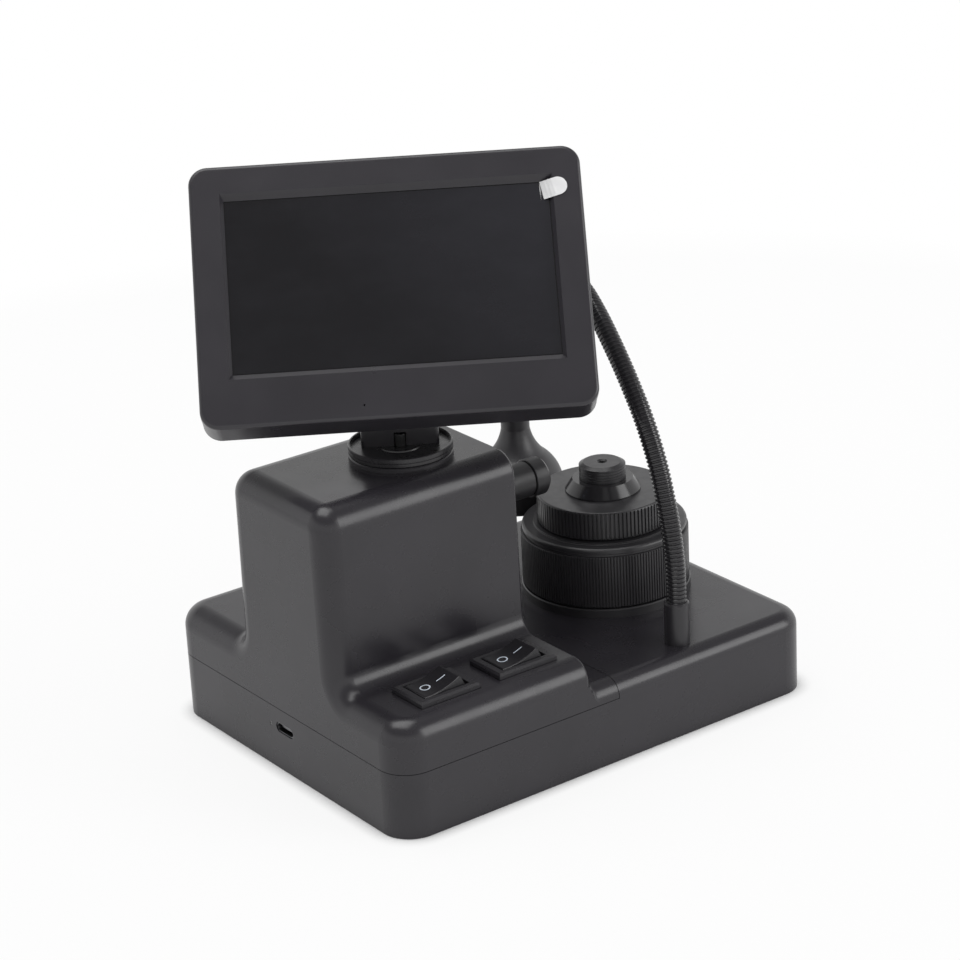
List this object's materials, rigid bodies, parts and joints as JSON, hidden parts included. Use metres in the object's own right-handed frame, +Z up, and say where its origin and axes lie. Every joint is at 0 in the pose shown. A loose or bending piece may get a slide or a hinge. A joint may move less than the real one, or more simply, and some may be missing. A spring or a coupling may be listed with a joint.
{
  "type": "digital microscope",
  "caption": "Bench microscope for gemstones: moulded case with a camera tower, knurled rotary stage, gooseneck lamp and a pan-and-tilt monitor.",
  "frame": {"origin": "middle of the base's footprint, on its underside", "axes": "+X to the right along the front, +Y to the back, +Z up; the switches are at the front left and the stage is on the right"},
  "size_m": [0.1713, 0.123, 0.1776],
  "materials": {
    "case_plastic": "satin moulded, fine texture",
    "monitor_plastic": "satin moulded",
    "switch_plastic": "smooth satin",
    "anodised_metal": "black anodised, knurled and turned",
    "lens_metal": "black anodised, semi-gloss",
    "stand_metal": "black satin paint",
    "gooseneck_metal": "black coated, glossy",
    "lamp_metal": "black satin paint",
    "gloss_black": "glossy",
    "steel": "plain",
    "black_steel": "black oxide",
    "socket_shell": "nickel plated",
    "pad_rubber": "matt",
    "optic_glass": "polished, coated",
    "cover_glass": "dark, glossy",
    "film": "clear protective film",
    "tab": "silvery white",
    "lcd": "glossy, unlit",
    "circuit_board": "solder-masked",
    "component": "moulded packages",
    "sensor": "glossy",
    "cell_wrap": "heat-shrink wrap",
    "light_guide": "clear acrylic",
    "led": "phosphor domes",
    "reflector": "metallised",
    "diffuser": "frosted",
    "brass_pin": "tinned"
  },
  "bodies": {
    "case": {"lower_case": "case_plastic", "upper_cover": "case_plastic", "bottom_plate": "case_plastic", "grip_pads": "pad_rubber", "plate_screws": "black_steel", "cover_screws": "black_steel", "main_board": "circuit_board", "board_components": "component", "board_screws": "steel", "charging_socket": "socket_shell", "charge_light_pipe": "light_guide", "battery_cell": "cell_wrap", "battery_cradle": "component", "power_switch_frame": "switch_plastic", "power_switch_terminals": "brass_pin", "lamp_switch_frame": "switch_plastic", "lamp_switch_terminals": "brass_pin", "lens_barrel": "lens_metal", "rear_lens": "optic_glass", "barrel_collar": "component", "sensor_holder": "component", "camera_board": "circuit_board", "image_sensor": "sensor", "camera_bracket": "steel", "stage_base": "anodised_metal", "stage_screws": "black_steel", "ring_clip": "steel", "pan_base_ring": "stand_metal", "gooseneck_gland": "stand_metal", "gland_nut": "steel"},
    "pan_stand": {"pan_disc": "gloss_black", "stand_neck": "stand_metal", "pan_pivot_screw": "black_steel", "pan_nut_and_washer": "steel", "tilt_pin": "black_steel", "tilt_washers": "steel"},
    "monitor": {"front_bezel": "monitor_plastic", "rear_cover": "monitor_plastic", "monitor_screws": "black_steel", "screen_glass": "cover_glass", "screen_film": "film", "lcd_panel": "lcd", "film_pull_tab": "tab", "driver_board": "circuit_board", "driver_components": "component"},
    "power_rocker": {"power_rocker": "gloss_black"},
    "lamp_rocker": {"lamp_rocker": "gloss_black"},
    "height_ring": {"height_ring": "anodised_metal"},
    "stage_lift": {"stage_lift": "anodised_metal"},
    "turntable": {"turntable": "anodised_metal", "holder_cone": "gloss_black"},
    "stone_plug": {"stone_plug": "anodised_metal"},
    "focus_ring": {"focus_ring": "lens_metal", "front_lens": "optic_glass"},
    "lamp_arm": {"gooseneck": "gooseneck_metal", "lamp_shell": "lamp_metal", "lamp_board": "circuit_board", "lamp_leds": "led", "lamp_reflector": "reflector", "lamp_lens": "diffuser"}
  },
  "joints": [
    {"name": "monitor_pan", "type": "hinge", "parent": "case", "child": "pan_stand", "pos_m": [-0.0333, -0.0053, 0.0942], "axis": [0, 0, 1], "range_deg": [-56.6, 123.4]},
    {"name": "monitor_tilt", "type": "hinge", "parent": "pan_stand", "child": "monitor", "pos_m": [-0.03064, -0.00126, 0.12252], "axis": [0.8348, -0.5505, 0], "range_deg": [-20, 30]},
    {"name": "power_rock", "type": "hinge", "parent": "case", "child": "power_rocker", "pos_m": [-0.0537, -0.0463, 0.0335], "axis": [0, 1, 0], "range_deg": [0, 24]},
    {"name": "lamp_rock", "type": "hinge", "parent": "case", "child": "lamp_rocker", "pos_m": [-0.0256, -0.0463, 0.0335], "axis": [0, 1, 0], "range_deg": [0, 24]},
    {"name": "height_turn", "type": "hinge", "parent": "case", "child": "height_ring", "pos_m": [0.0443, -0.0029, 0.02935], "axis": [0, 0, 1], "range_deg": [-300, 0]},
    {"name": "stage_height", "type": "slide", "parent": "case", "child": "stage_lift", "axis": [0, 0, 1], "range_m": [0, 0.005]},
    {"name": "table_turn", "type": "hinge", "parent": "stage_lift", "child": "turntable", "pos_m": [0.0443, -0.0029, 0.0509], "axis": [0, 0, 1], "continuous": true},
    {"name": "plug_lift", "type": "slide", "parent": "turntable", "child": "stone_plug", "axis": [0, 0, 1], "range_m": [0, 0.015]},
    {"name": "focus_turn", "type": "hinge", "parent": "case", "child": "focus_ring", "pos_m": [0.0143, -0.0029, 0.0708], "axis": [1, 0, 0], "range_deg": [-60, 60]},
    {"name": "lamp_swing", "type": "hinge", "parent": "case", "child": "lamp_arm", "pos_m": [0.0329, -0.0518, 0.029], "axis": [0, 0, 1], "range_deg": [-6, 14]}
  ],
  "couplings": [
    {"joint": "height_turn", "follows": "stage_height", "rad_per_m": -1047.1}
  ]
}
